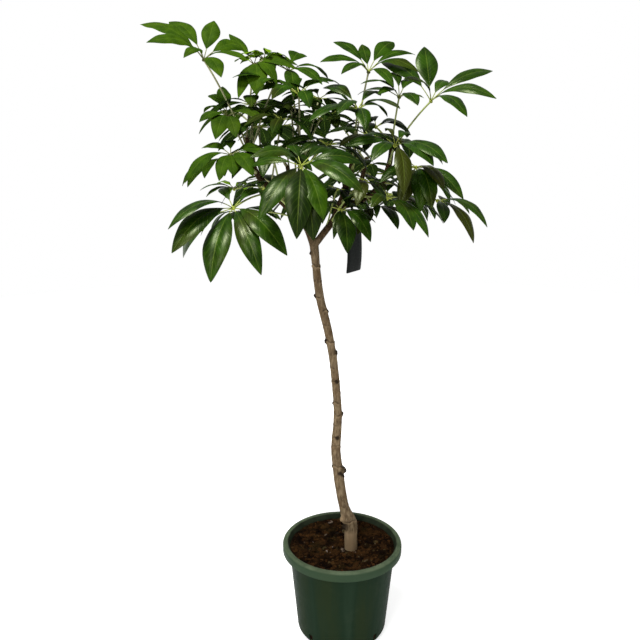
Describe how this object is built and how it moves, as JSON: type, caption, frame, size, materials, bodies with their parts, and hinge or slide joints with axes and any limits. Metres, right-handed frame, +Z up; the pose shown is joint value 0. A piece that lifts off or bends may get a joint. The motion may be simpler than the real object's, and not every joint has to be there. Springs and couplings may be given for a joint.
{
  "type": "potted umbrella plant",
  "caption": "Umbrella plant with a bare woody trunk and a spreading head of large compound leaves, standing in a dark green round nursery pot of bark mix, with a blank hanging tag.",
  "frame": {"origin": "centre of the flat underside of the pot, on the pot's axis", "axes": "+Z up, -Y towards the viewer of the picture, +X to the viewer's right"},
  "size_m": [0.7909, 0.7294, 1.4933],
  "materials": {
    "pot": "satin",
    "potting_mix": "matte",
    "bark": "matte",
    "leaf": "satin",
    "tag": "satin"
  },
  "bodies": {
    "root": {"pot": "pot", "potting_mix": "potting_mix", "trunk": "bark", "back_left_limb": "bark", "back_right_limb": "bark", "centre_limb": "bark", "left_limb": "bark", "middle_limb": "bark", "right_limb": "bark", "plant_tag": "tag", "back_left_leaf_1": "leaf", "back_left_leaf_2": "leaf", "back_left_leaf_3": "leaf", "back_left_leaf_4": "leaf", "back_left_leaf_5": "leaf", "back_left_leaf_6": "leaf", "back_left_leaf_7": "leaf", "back_right_leaf_1": "leaf", "back_right_leaf_2": "leaf", "back_right_leaf_3": "leaf", "back_right_leaf_4": "leaf", "back_right_leaf_5": "leaf", "back_right_leaf_6": "leaf", "back_right_leaf_7": "leaf", "centre_leaf_1": "leaf", "centre_leaf_2": "leaf", "centre_leaf_3": "leaf", "centre_leaf_4": "leaf", "centre_leaf_5": "leaf", "centre_leaf_6": "leaf", "centre_leaf_7": "leaf", "centre_leaf_8": "leaf", "centre_leaf_9": "leaf", "left_leaf_1": "leaf", "left_leaf_2": "leaf", "left_leaf_3": "leaf", "left_leaf_4": "leaf", "left_leaf_5": "leaf", "left_leaf_6": "leaf", "left_leaf_7": "leaf", "left_leaf_8": "leaf", "left_leaf_9": "leaf", "left_leaf_10": "leaf", "left_leaf_11": "leaf", "left_leaf_12": "leaf", "left_leaf_13": "leaf", "middle_leaf_1": "leaf", "middle_leaf_2": "leaf", "middle_leaf_3": "leaf", "middle_leaf_4": "leaf", "middle_leaf_5": "leaf", "middle_leaf_6": "leaf", "middle_leaf_7": "leaf", "right_leaf_1": "leaf", "right_leaf_2": "leaf", "right_leaf_3": "leaf", "right_leaf_4": "leaf", "right_leaf_5": "leaf", "right_leaf_6": "leaf"}
  },
  "joints": []
}
